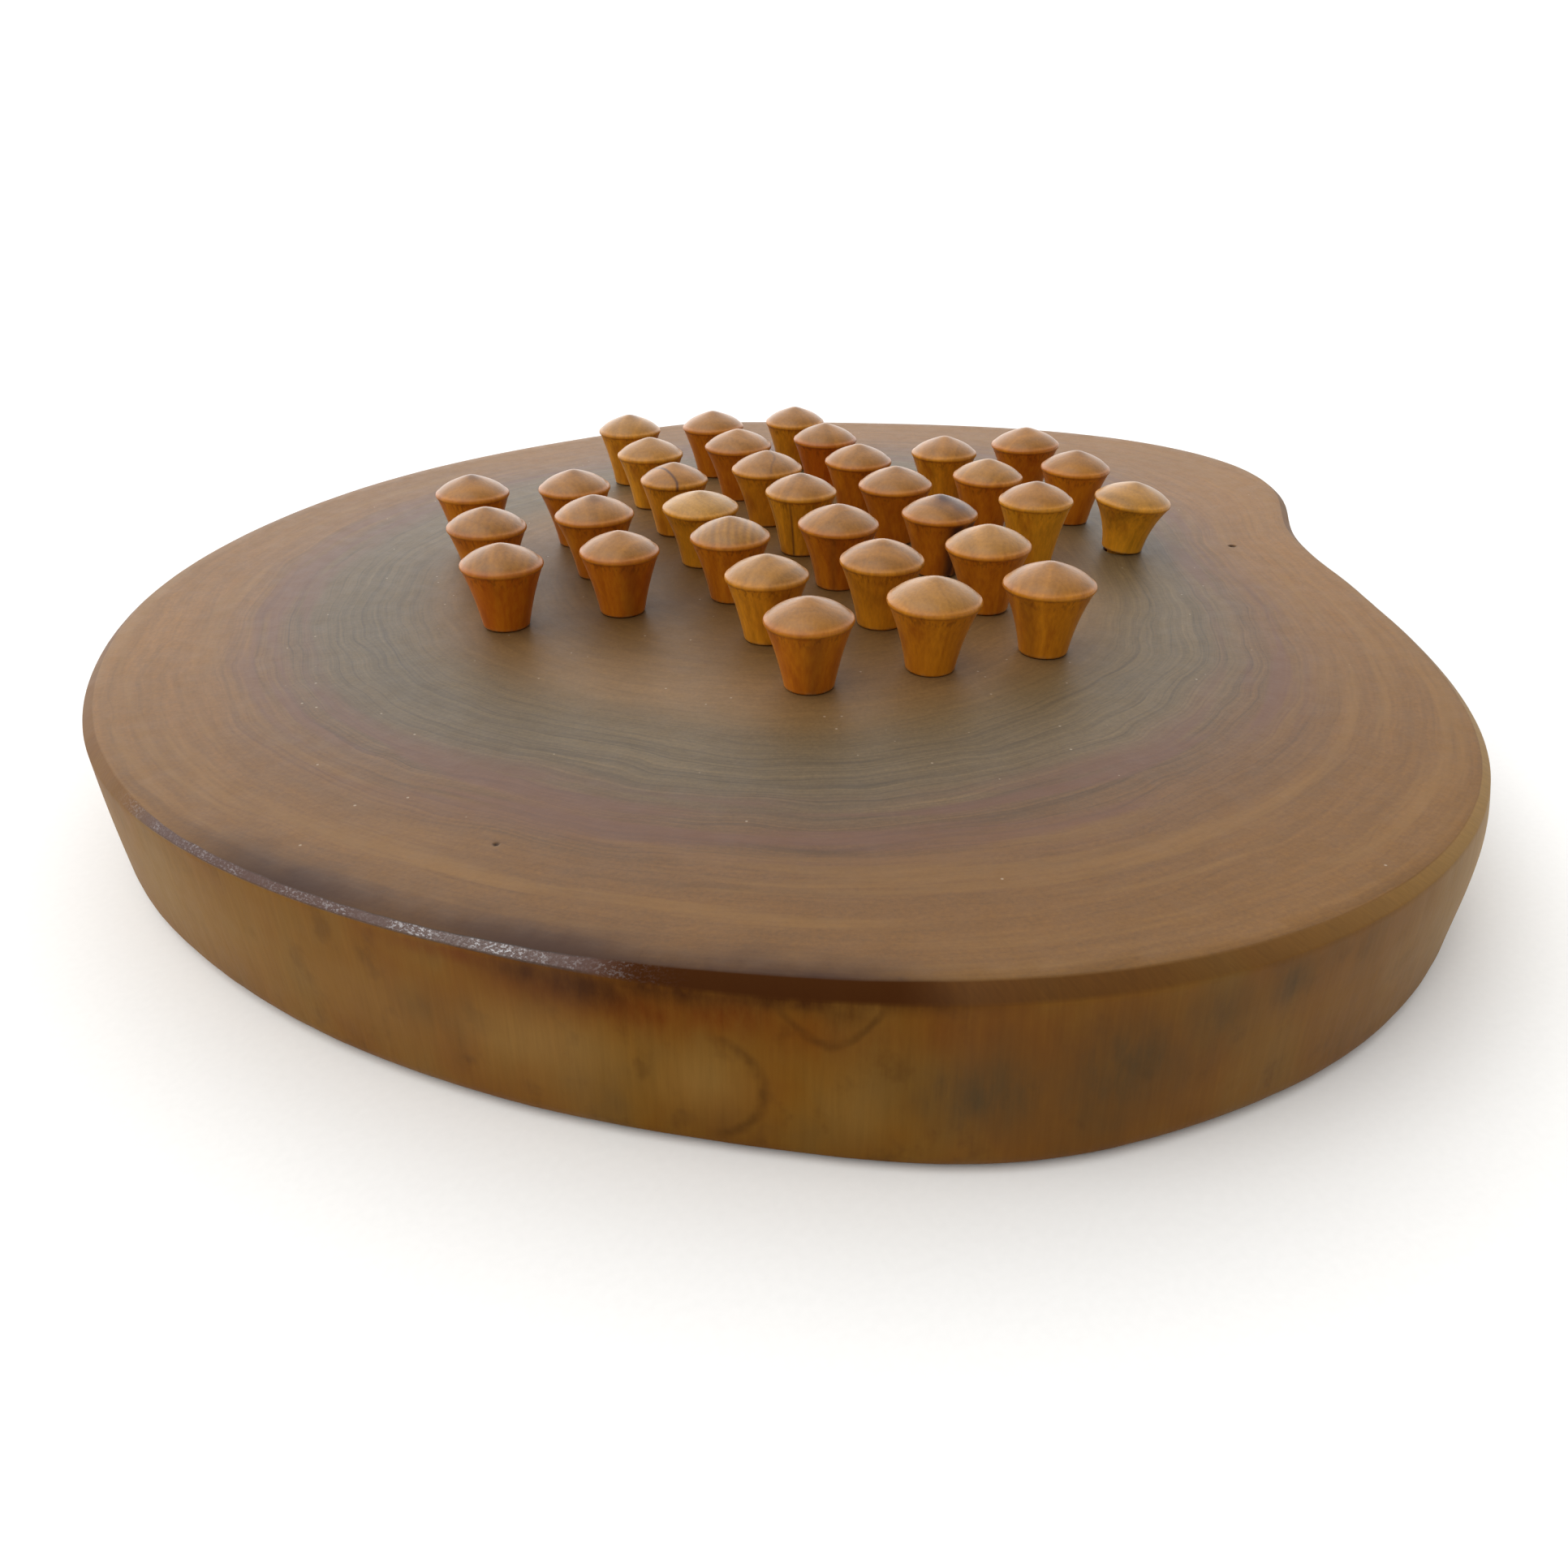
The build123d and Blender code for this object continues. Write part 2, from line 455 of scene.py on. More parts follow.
def top_face(edge):
    """The top face's points and triangles, with a round opening for each hole."""
    loops = [centre + HOLE_CIRCLE * (HOLE_RADIUS + MOUTH) for centre in HOLES]
    rings = [centre + HOLE_CIRCLE[::2] * (HOLE_RADIUS + MOUTH + TOP_SPACING * 0.5) for centre in HOLES]
    low, high = edge.min(axis=0)[:2], edge.max(axis=0)[:2]
    grid = []
    for row, y in enumerate(np.arange(low[1], high[1], TOP_SPACING * 0.87)):
        for x in np.arange(low[0] + TOP_SPACING * 0.5 * (row % 2), high[0], TOP_SPACING):
            grid.append((x, y))
    grid = np.array(grid)
    away, nearest = outline_distance(grid)
    inward = ((OUTLINE[nearest] - grid) * OUTWARD[nearest]).sum(axis=1)
    clear = hole_distance(grid) > HOLE_RADIUS + MOUTH + TOP_SPACING
    grid = grid[(inward > 0) & (away > TOP_MARGIN) & clear]
    points = [*edge[:, :2], *np.concatenate(loops), *np.concatenate(rings), *grid]
    edges = [(k, (k + 1) % len(edge)) for k in range(len(edge))]
    for hole in range(len(HOLES)):
        start = len(edge) + hole * HOLE_STEPS
        edges += [(start + k, start + (k + 1) % HOLE_STEPS) for k in range(HOLE_STEPS)]
    # Option 1 keeps what lies inside the outer loop.
    made, _, faces, *_ = geometry.delaunay_2d_cdt([Vector(p) for p in points], edges, [], 1, 1e-9)
    made = np.array([tuple(v) for v in made])
    middles = np.array([made[list(face)].mean(axis=0) for face in faces])
    keep = hole_distance(middles) > (HOLE_RADIUS + MOUTH) * 0.995
    return made, [face for face, kept in zip(faces, keep) if kept]


# Small marks in the top: a pit near the right edge, and a pinhole at the front left: (x, y, radius, depth).
PITS = [(90.5 * MM, -28.0 * MM, 0.9 * MM, 0.9 * MM), (-78.0 * MM, -99.0 * MM, 0.45 * MM, 0.4 * MM)]
# The mesh is cut finer this far round each pit.
PIT_SURROUND = 3.2 * MM


def top_height(points):
    """The top's height: flat but for a slight wave from sanding."""
    places = np.hstack([points[:, :2], np.zeros((len(points), 1))])
    from_edge = smooth_step(outline_distance(places)[0], 2 * MM, 10 * MM)
    from_holes = smooth_step(hole_distance(places), 5 * MM, 9 * MM)
    return TOP - 0.08 * MM * from_edge * from_holes * (1 + wave_noise(places, 35 * MM, 4))


def make_board():
    rows = slab_rows()
    steps = OUTLINE_STEPS
    blocks, faces = list(rows), []

    def join_rows(start, count):
        """Faces between two neighbouring loops of points."""
        for k in range(count):
            a, b = start + k, start + (k + 1) % count
            faces.append((a, a + count, b + count, b))

    for row in range(len(rows) - 1):
        join_rows(row * steps, steps)
    # The underside, in ever smaller loops round the middle.
    start = (len(rows) - 1) * steps
    for share in np.linspace(0.96, 0.04, 24):
        blocks.append(rows[-1] * (share, share, 1))
        join_rows(start, steps)
        start += steps
    blocks.append(np.zeros((1, 3)))
    faces += [(start + k, start + steps, start + (k + 1) % steps) for k in range(steps)]

    flat, triangles = top_face(rows[0])
    start = sum(len(block) for block in blocks)
    blocks.append(np.column_stack([flat, top_height(flat)]))
    faces += [tuple(start + k for k in triangle) for triangle in triangles]

    # Each hole: a broken mouth, a straight wall and a floor with the drill's shallow cone.
    depth = TOP - MOUTH - HOLE_FLOOR
    levels = [(HOLE_RADIUS + MOUTH, TOP)]
    levels += [(HOLE_RADIUS, TOP - MOUTH - depth * k / 8) for k in range(9)]
    levels += [(HOLE_RADIUS * 0.5, HOLE_FLOOR - 0.3 * MM)]
    for centre in HOLES:
        start = sum(len(block) for block in blocks)
        for radius, height in levels:
            blocks.append(np.column_stack([centre + HOLE_CIRCLE * radius, np.full(HOLE_STEPS, height)]))
        blocks.append(np.array([(*centre, HOLE_FLOOR - 0.6 * MM)]))
        for level in range(len(levels) - 1):
            join_rows(start + level * HOLE_STEPS, HOLE_STEPS)
        last = start + (len(levels) - 1) * HOLE_STEPS
        faces += [(last + k, last + HOLE_STEPS, last + (k + 1) % HOLE_STEPS) for k in range(HOLE_STEPS)]

    mesh = bpy.data.meshes.new("board")
    mesh.from_pydata(np.concatenate(blocks).tolist(), [], faces)
    weld(mesh)
    sink_pits(mesh)
    paint_board(mesh)
    mesh.materials.append(board_wood())
    mesh.shade_smooth()
    mesh.set_sharp_from_angle(angle=math.radians(45))
    add_piece("board_slab", mesh, "board", "board")


def weld(mesh):
    """Joins points that coincide, turns all faces outward, and drops points without a face."""
    work = bmesh.new()
    work.from_mesh(mesh)
    bmesh.ops.remove_doubles(work, verts=work.verts, dist=0.004 * MM)
    loose = [v for v in work.verts if not v.link_faces]
    bmesh.ops.delete(work, geom=loose, context="VERTS")
    bmesh.ops.recalc_face_normals(work, faces=work.faces)
    work.to_mesh(mesh)
    work.free()


def on_top_near(vertex, x, y):
    """Whether a vertex is on the top, beside a pit at that place."""
    return vertex.co.z > TOP - 0.5 * MM and math.hypot(vertex.co.x - x, vertex.co.y - y) < PIT_SURROUND


def sink_pits(mesh):
    """Cuts the top finer round each small pit, and sinks it."""
    work = bmesh.new()
    work.from_mesh(mesh)
    for x, y, radius, depth in PITS:
        for _ in range(3):
            near = [edge for edge in work.edges if all(on_top_near(v, x, y) for v in edge.verts)]
            bmesh.ops.subdivide_edges(work, edges=near, cuts=1, use_grid_fill=True)
        for v in work.verts:
            away = math.hypot(v.co.x - x, (v.co.y - y) * 1.3) / radius
            if away < 1 and on_top_near(v, x, y):
                v.co.z -= depth * (1 - away * away)
    bmesh.ops.triangulate(work, faces=[face for face in work.faces if len(face.verts) > 4])
    work.to_mesh(mesh)
    work.free()


# Soft patches of colour on the wall, in the order they are laid. The broad pale patches at the wall's two ends, and
# the end patch, are painted light where the ends catch more light. Each kind has its colour, its strength, whether
# clouds break it up, and its patches: (heading in degrees, height, half width in degrees, half height, strength),
# with heights in millimetres.
WALL_PATCHES = {
    "pale": (
        (0.240, 0.132, 0.036),
        0.75,
        False,
        [
            (-122.5, 13.0, 4.5, 5.5, 0.8),
            (-114.0, 10.8, 2.3, 5.5, 0.7),
            (-133.0, 12.0, 7.0, 7.0, 0.5),
            (-107.0, 9.0, 1.6, 7.0, 0.4),
            # These two broad patches, at the wall's two ends, are painted light.
            (-150.0, 13.0, 14.0, 14.0, 1.0),
            (-62.0, 14.0, 19.0, 16.0, 1.0),
        ],
    ),
    "red": (
        (0.125, 0.033, 0.004),
        0.85,
        True,
        [
            (-126.0, 23.9, 4.0, 1.3, 0.8),
            (-121.5, 22.0, 3.0, 3.0, 0.7),
            (-116.8, 20.8, 3.4, 3.8, 1.0),
            (-112.8, 21.4, 2.6, 3.6, 1.0),
            (-109.2, 19.4, 3.0, 3.8, 0.6),
            (-104.0, 20.5, 5.0, 4.0, 0.45),
            (-98.0, 19.0, 3.0, 5.0, 0.35),
        ],
    ),
    "green": (
        (0.075, 0.044, 0.016),
        0.75,
        True,
        [
            (-101.8, 12.0, 3.2, 6.0, 1.0),
            (-104.7, 11.0, 0.5, 5.0, 0.6),
            (-95.5, 14.0, 3.4, 8.0, 0.9),
            (-87.2, 20.4, 1.3, 3.6, 1.0),
            (-91.0, 18.0, 2.2, 6.0, 0.8),
            (-128.5, 14.0, 1.4, 3.0, 0.45),
            (-110.0, 4.0, 8.0, 3.0, 0.3),
        ],
    ),
    "dark": (
        (0.055, 0.018, 0.004),
        0.95,
        True,
        [
            (-122.5, 23.4, 2.0, 2.0, 0.8),
            (-119.4, 22.8, 2.4, 3.0, 1.0),
            (-115.5, 24.0, 4.0, 2.0, 1.0),
            (-110.5, 24.3, 4.0, 1.6, 1.0),
            (-107.8, 22.8, 1.0, 1.6, 0.6),
            (-105.0, 24.6, 4.0, 1.4, 0.8),
        ],
    ),
    # The end patch is painted light at the wall's right end.
    "end": ((0.420, 0.265, 0.100), 0.95, False, [(-59.0, 18.0, 12.0, 18.0, 1.0)]),
}
# The heading that the wall's girth is counted from, at the front, and the wall's length over one degree there.
GIRTH_START = -100
GIRTH_DEGREE = 2.55


def patch_cover(around, height, patches):
    cover = np.zeros(len(around))
    for heading, level, half_width, half_height, strength in patches:
        upright = np.exp(-(((height / MM - level) / half_height) ** 2))
        cover = np.maximum(cover, strength * hump(around, heading, half_width) * upright)
    return cover


def paint_board(mesh):
    """Stores each point's year ring, its place on the edge, its stains, and the painted light and shade it carries.
    """
    points = vertices_of(mesh)
    from_pith = points[:, :2] - PITH
    heading = np.arctan2(from_pith[:, 1], from_pith[:, 0])
    radius = np.hypot(from_pith[:, 0], from_pith[:, 1])
    rim = OUTLINE - PITH
    rim_heading = np.arctan2(rim[:, 1], rim[:, 0])
    order = np.argsort(rim_heading)
    rim_reach = np.hypot(rim[:, 0], rim[:, 1])
    rim_radius = np.interp(heading, rim_heading[order], rim_reach[order], period=2 * math.pi)
    # The inner rings are round, and the outer ones follow the bark.
    share = radius / rim_radius
    follow = 0.85 * smooth_step(share, 0.3, 1.0)
    ring = radius * (1 - follow) + share * rim_reach.mean() * follow
    turn = np.stack([np.cos(heading), np.sin(heading), np.zeros_like(heading)], axis=1)
    put_attribute(mesh, "turn", turn, "FLOAT_VECTOR")

    away, nearest = outline_distance(points)
    around = HEADINGS[nearest]
    drop = np.clip((TOP - points[:, 2]) / edge_width(around), 0, 30)
    on_face = (points[:, 2] < 0.05 * MM) | ((points[:, 2] > TOP / 2) & (away > 4 * MM))
    pits = np.zeros(len(points))
    for x, y, pit_radius, _ in PITS:
        from_pit = np.hypot(points[:, 0] - x, points[:, 1] - y)
        pits = np.maximum(pits, 1 - smooth_step(from_pit, pit_radius * 0.5, pit_radius * 1.4))
    numbers = {
        "ring": ring / MM,
        "hole_painted_shade": smooth_step(hole_distance(points), HOLE_RADIUS + MOUTH, HOLE_RADIUS),
        "drop": np.where(on_face, 0, drop),
        "underside": points[:, 2] < 0.3 * MM,
        "inset": away / MM,
        "girth": ((np.degrees(around) - GIRTH_START + 180) % 360 - 180) * GIRTH_DEGREE,
        "strip": between(around, *STRIP, 10) * (0.30 + 0.70 * hump(around, -125, 5)),
        "stain": between(around, *STAIN, 9) * (0.85 + 0.15 * np.sin(np.degrees(around) * 0.45)),
        "brown_edge": np.maximum(between(around, *BROWN_EDGE, 6), 0.5 * hump(around, -98, 9)),
        "yellow_edge": hump(around, -66, 16),
        "pit": pits * (points[:, 2] > TOP / 2),
    }
    for kind, (_, _, _, patches) in WALL_PATCHES.items():
        numbers[f"wall_{kind}"] = patch_cover(around, points[:, 2], patches)
    for name, values in numbers.items():
        put_attribute(mesh, name, values)


# The board's colours, as linear red, green and blue. The heartwood runs from the pith to the bark, and the wall's
# ground colour follows a slow noise.
HEART = [
    (0.00, (0.124, 0.060, 0.013)),
    (0.28, (0.116, 0.058, 0.015)),
    (0.37, (0.158, 0.083, 0.026)),
    (0.43, (0.168, 0.090, 0.030)),
    (0.49, (0.102, 0.064, 0.024)),
    (0.56, (0.094, 0.062, 0.026)),
    (0.62, (0.102, 0.064, 0.027)),
    (0.67, (0.104, 0.046, 0.012)),
    (0.73, (0.138, 0.061, 0.013)),
    (0.80, (0.154, 0.065, 0.008)),
    (0.92, (0.158, 0.067, 0.007)),
    (1.00, (0.154, 0.068, 0.008)),
]
OUTERMOST_RING = 150.0
WALL_GROUND = [
    (0.30, (0.110, 0.054, 0.011)),
    (0.42, (0.150, 0.055, 0.007)),
    (0.50, (0.165, 0.065, 0.007)),
    (0.60, (0.175, 0.082, 0.013)),
    (0.72, (0.125, 0.063, 0.016)),
]
WARM_SAPWOOD = (0.205, 0.098, 0.018)
PURPLE_STREAK = (0.112, 0.045, 0.027)
STAINED_FACE = (0.038, 0.015, 0.009)
BROWN_LAP = (0.034, 0.010, 0.003)
PIT_SHADE = (0.020, 0.008, 0.005)
DUST = (0.42, 0.34, 0.25)
WALL_MOTTLE = (0.085, 0.034, 0.006)
GROWTH_LINE = (0.050, 0.020, 0.005)
BEVEL = (0.130, 0.052, 0.007)
YELLOW_BEVEL = (0.270, 0.155, 0.045)
BROWN_BEVEL = (0.040, 0.011, 0.002)
STRIP_GROUND = (0.085, 0.042, 0.032)
STRIP_PAINTED_GLINT = (0.500, 0.490, 0.510)
STRIP_LINE = (0.030, 0.012, 0.007)


def board_wood():
    """Lacquered end grain with year rings on the two faces, and long grain on the wall."""
    s = Shader("board_wood")
    place = s.scaled(s.position(), 1 / MM)
    _, _, z = s.split(place)
    ring = s.attribute("ring")
    turn = s.attribute("turn", output="Vector")
    across, away, _ = s.split(turn)

    def ring_place(round_scale, rings, ring_scale):
        """A place for noise that is drawn out along the rings."""
        out = s.join(0.0, 0.0, s.times(rings, ring_scale))
        return s.add("ShaderNodeVectorMath", {0: s.scaled(turn, round_scale), 1: out}, operation="ADD")

    # Faces: the heartwood's colours follow the rings, which wander a little.
    wander = s.shift(s.noise(place, 0.022, 3), 13.0)
    wander_fine = s.shift(s.noise(place, 0.07, 2), 1.2)
    bent_ring = s.math("ADD", s.math("ADD", ring, wander), wander_fine)
    heart = s.ramp(s.math("DIVIDE", bent_ring, OUTERMOST_RING), HEART)
    in_dark = s.times(s.step(bent_ring, 66, 84), s.step(bent_ring, 116, 98))
    lines = s.noise(ring_place(1.1, bent_ring, 0.62), 1.0, 4, 0.75)
    fine = s.noise(s.join(s.times(bent_ring, 1.8), 0.0, 0.0), 1.0, 2, 0.7)
    crossing = s.math("ABSOLUTE", s.math("SUBTRACT", s.noise(ring_place(0.8, bent_ring, 0.42), 1.0, 1), 0.5))
    thread = s.times(s.step(crossing, 0.040, 0.0), s.line(in_dark, 0.15, 0.07))
    streak_place = ring_place(6.0, ring, 0.8)
    # The sapwood is browner towards the player and lighter towards the far side, and the wood a little lighter on the
    # right: painted sheen, where the lacquer catches more light. To the left and right the heart is darker: painted
    # shade.
    sap = s.step(bent_ring, 92, 108)
    far_side_painted_sheen = s.step(away, -1.0, -0.2)
    heart_side_painted_shade = s.times(s.math("SUBTRACT", 1.0, sap), across, across)
    tone = s.times(
        s.factor(lines, s.line(in_dark, 0.66, 0.40)),
        s.factor(fine, s.line(in_dark, 0.66, 0.24)),
        s.factor(s.noise(streak_place, 1.0, 4, 0.6), 0.44),
        s.factor(s.noise(place, 0.02, 3), 0.45),
        s.factor(s.noise(place, 1.5, 2, 0.7), 0.55),
        s.factor(s.noise(s.scaled(place, (1.0, 1.4, 1.0)), 0.8, 3, 0.8), 0.36),
        s.line(sap, s.line(far_side_painted_sheen, 0.25, -0.13), 1.0),
        s.line(heart_side_painted_shade, -0.13, 1.06),
        s.line(across, 0.055, 1.0),
        s.math("SUBTRACT", 1.0, thread),
    )
    face = s.tint(heart, tone)

    # Warmer clouds in the sapwood, and purple streaks just outside the dark heart.
    warm = s.step(s.noise(streak_place, 0.40, 4, 0.6), 0.46, 0.66)
    face = s.lay(face, WARM_SAPWOOD, s.step(bent_ring, 96, 116), warm, 0.45)
    purple_ring = s.times(s.step(bent_ring, 90, 97), s.step(bent_ring, 112, 102))
    face = s.lay(face, PURPLE_STREAK, purple_ring, s.step(s.noise(streak_place, 0.33, 2), 0.44, 0.60), 0.60)

    # The dark stain just inside the front left edge, the brown edge at the front, and painted shade in the pits.
    inset = s.attribute("inset")
    ragged = s.shift(s.noise(place, 0.14, 4), 5.0)
    stain = s.times(s.step(s.math("ADD", inset, ragged), 10.5, 1.5), s.attribute("stain"))
    face = s.lay(face, STAINED_FACE, stain, 0.92)
    brown_edge = s.attribute("brown_edge")
    lapped = s.shift(s.noise(place, 0.5, 3), 2.4)
    face = s.lay(face, BROWN_LAP, s.step(s.math("ADD", inset, lapped), 3.4, 0.4), brown_edge, 0.80)
    face = s.lay(face, PIT_SHADE, s.attribute("pit"), 0.85)

    # Dust: tiny pale specks, more of them on the dark heart.
    dust = s.specks(place, 0.42, 0.11, s.line(s.step(bent_ring, 110, 90), 0.13, 0.03))
    face = s.lay(face, DUST, dust, 0.50)

    # Wall: long grain, upright.
    girth = s.attribute("girth")
    wall_place = s.join(girth, z, 0.0)

    def wall_noise(upright, scale, detail, roughness=0.5):
        """Noise on the wall, drawn out along its grain where upright is below 1."""
        return s.noise(s.scaled(wall_place, (1.0, upright, 1.0)), scale, detail, roughness)

    wall = s.ramp(wall_noise(0.55, 0.05, 4, 0.55), WALL_GROUND)
    wall = s.lay(wall, WALL_MOTTLE, s.step(wall_noise(0.7, 0.16, 4, 0.6), 0.54, 0.70), 0.50)
    cloud = s.line(wall_noise(0.35, 0.45, 4, 0.65), 1.8, 0.1)
    for kind, (patch_colour, strength, clouded, _) in WALL_PATCHES.items():
        wall = s.lay(wall, patch_colour, s.attribute(f"wall_{kind}"), cloud if clouded else 1.0, strength)
    wall = s.tint(wall, s.factor(wall_noise(0.05, 1.3, 4, 0.7), 0.38, 0.97))
    wall = s.lay(wall, GROWTH_LINE, growth_lines(s, girth, z))

    # The worn edge: brushed, yellower at the right front and brown at the front.
    drop = s.attribute("drop")
    on_wall = s.step(drop, 0.80, 1.15)
    on_bevel = s.step(drop, 0.01, 0.12)
    brushed = s.noise(s.join(s.math("ADD", girth, z), s.times(z, 0.3), 0.0), 2.0, 3, 0.65)
    bevel = s.tint(s.lay(wall, BEVEL, 0.45), s.line(brushed, 0.5, 0.72))
    yellow = s.tint(YELLOW_BEVEL, s.line(brushed, 0.5, 0.75))
    bevel = s.lay(bevel, yellow, s.attribute("yellow_edge"), 0.8)
    bevel = s.lay(bevel, BROWN_BEVEL, brown_edge, 0.92)
    # On the glossy strip, clusters of pale specks are painted highlights, and a dark line runs along each side of it.
    strip = s.attribute("strip")
    bevel = s.lay(bevel, STRIP_GROUND, s.step(strip, 0.05, 0.30))
    cluster = s.step(s.noise(s.join(girth, 0.0, 0.0), 0.16, 2), 0.40, 0.58)
    painted_glints = s.step(s.noise(s.scaled(place, (1.0, 1.0, 2.0)), 2.1, 3, 0.7), 0.49, 0.62)
    bevel = s.lay(bevel, STRIP_PAINTED_GLINT, painted_glints, strip, s.line(cluster, 0.85, 0.15), 0.90)
    lined = s.math("MAXIMUM", s.step(drop, 0.16, 0.04), s.step(drop, 0.78, 0.95))
    bevel = s.lay(bevel, STRIP_LINE, lined, s.step(strip, 0.10, 0.40))
    colour = s.mix(on_bevel, face, bevel)
    colour = s.mix(on_wall, colour, wall)
    colour = s.mix(s.attribute("underside"), colour, s.tint(face, 0.85))
    # Inside the holes and round their mouths the wall's colour is darkened: painted shade by the pegs' feet.
    colour = s.mix(s.attribute("hole_painted_shade"), colour, s.tint(wall, 0.55))

    gloss = s.times(s.step(strip, 0.05, 0.35), s.step(drop, 0.0, 0.10), s.step(drop, 1.15, 0.9), strip)
    bump = s.times(s.noise(place, 1.1, 3), 0.22)
    bump = s.math("ADD", bump, s.times(wall_noise(0.05, 1.3, 3), on_wall, 0.20))
    bump = s.math("ADD", bump, s.times(lines, 0.05))
    bump = s.math("ADD", bump, s.times(s.noise(place, 1.5, 3, 0.65), gloss, 3.5))
    roughness = s.line(s.noise(place, 0.3, 3), 0.14, 0.48)
    roughness = s.line(in_dark, -0.03, roughness)
    roughness = s.line(gloss, -0.20, roughness)
    specular = s.line(on_wall, -0.07, s.line(on_bevel, -0.14, 0.32))
    matt = s.math("MAXIMUM", s.times(stain, 0.45), s.times(brown_edge, on_bevel))
    specular = s.times(specular, s.line(matt, -0.9, 1.0))
    specular = s.line(gloss, 0.6, specular)
    s.finish(colour, roughness, specular, bump, 0.12 * MM)
    return s.material


# Two growth lines on the front of the wall, in millimetres of girth and height: a hanging V, as its tip and how
# wide and tall each arm is, and an oval, as its middle and half sizes.
V_TIP = (-21.4, 18.1)
V_ARM = (6.0, 5.2)
OVAL_MIDDLE = (-35.7, 10.4)
OVAL_SIZE = (6.9, 7.4)


def growth_lines(s, girth, z):
    """How strongly the wall's two thin dark lines show: the V, and the oval's right side."""
    wobble = s.shift(s.noise(s.join(girth, z, 0.0), 0.35, 3), 1.8)
    across = s.math("SUBTRACT", girth, V_TIP[0])
    arm = s.math("POWER", s.math("ABSOLUTE", s.math("DIVIDE", across, V_ARM[0])), 1.5)
    off_v = s.math("SUBTRACT", z, s.line(arm, V_ARM[1], V_TIP[1]))
    off_v = s.math("ABSOLUTE", s.math("ADD", off_v, wobble))
    v_share = s.times(s.step(off_v, 1.2, 0.1), s.step(s.math("ABSOLUTE", across), 6.8, 5.4))
    out_x = s.math("DIVIDE", s.math("SUBTRACT", girth, OVAL_MIDDLE[0]), OVAL_SIZE[0])
    out_z = s.math("DIVIDE", s.math("SUBTRACT", z, OVAL_MIDDLE[1]), OVAL_SIZE[1])
    reach = s.math("POWER", s.math("ADD", s.times(out_x, out_x), s.times(out_z, out_z)), 0.5)
    off_oval = s.math("ABSOLUTE", s.math("ADD", s.math("SUBTRACT", reach, 1.0), s.times(wobble, 0.09)))
    oval_share = s.times(s.step(off_oval, 0.17, 0.0), s.step(out_x, -0.15, 0.45))
    broken = s.noise(s.join(girth, z, 7.0), 0.5, 2)
    return s.times(s.math("MAXIMUM", s.times(v_share, 0.95), oval_share), broken, 0.75)


# ---------------------------------------------------------------- the pegs

LATHE_STEPS = 104
FINE_LATHE_STEPS = 168
BASE_ROUNDING = 0.5 * MM
STEM_RADIUS = 2.9 * MM
STEM_TIP_RADIUS = 2.3 * MM
STEM_TIP_CHAMFER = 0.5 * MM
# A usual peg is this share of the way from its base's radius to its rim's, halfway up the body.
USUAL_MIDDLE = 0.30
# The lip starts this far below the widest place, and overhangs the body by this much.
LIP_DEPTH = 0.60 * MM
LIP_OVERHANG = 0.24 * MM
# The lip's section, as (height above the lip's foot, distance inside the widest place), in millimetres.
LIP_SECTION = (
    (0.06, 0.17),
    (0.18, 0.06),
    (0.36, 0.0),
    (0.58, 0.0),
    (0.78, 0.06),
    (0.94, 0.17),
    (1.06, 0.32),
    (1.15, 0.50),
)


def read_peg(name):
    """A turned CAD peg's axis, and its points' height along it and distance from it."""
    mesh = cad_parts[name].data
    mesh.calc_loop_triangles()
    points = vertices_of(mesh)
    corners = np.array([points[list(t.vertices)] for t in mesh.loop_triangles])
    area = np.linalg.norm(np.cross(corners[:, 1] - corners[:, 0], corners[:, 2] - corners[:, 0]), axis=1)
    middles = corners.mean(axis=1)
    centre = (middles * area[:, None]).sum(axis=0) / area.sum()
    spread = ((middles - centre) * area[:, None]).T @ (middles - centre)
    axis = np.linalg.eigh(spread)[1][:, 2]
    axis = axis * np.sign(axis[2])
    height = (points - centre) @ axis
    radius = np.linalg.norm(points - centre - height[:, None] * axis, axis=1)
    return centre, axis, height, radius


def cap_fall(share):
    """The cap's fall from its point, 0, to its foot, 1: a small blunt point, a little hollow, then convex."""
    blunt_cone = math.sqrt(share**2 + 0.014) - math.sqrt(0.014)
    return 0.72 * blunt_cone + 0.357 * share**4 + 0.03 * math.sin(math.pi * share) ** 2


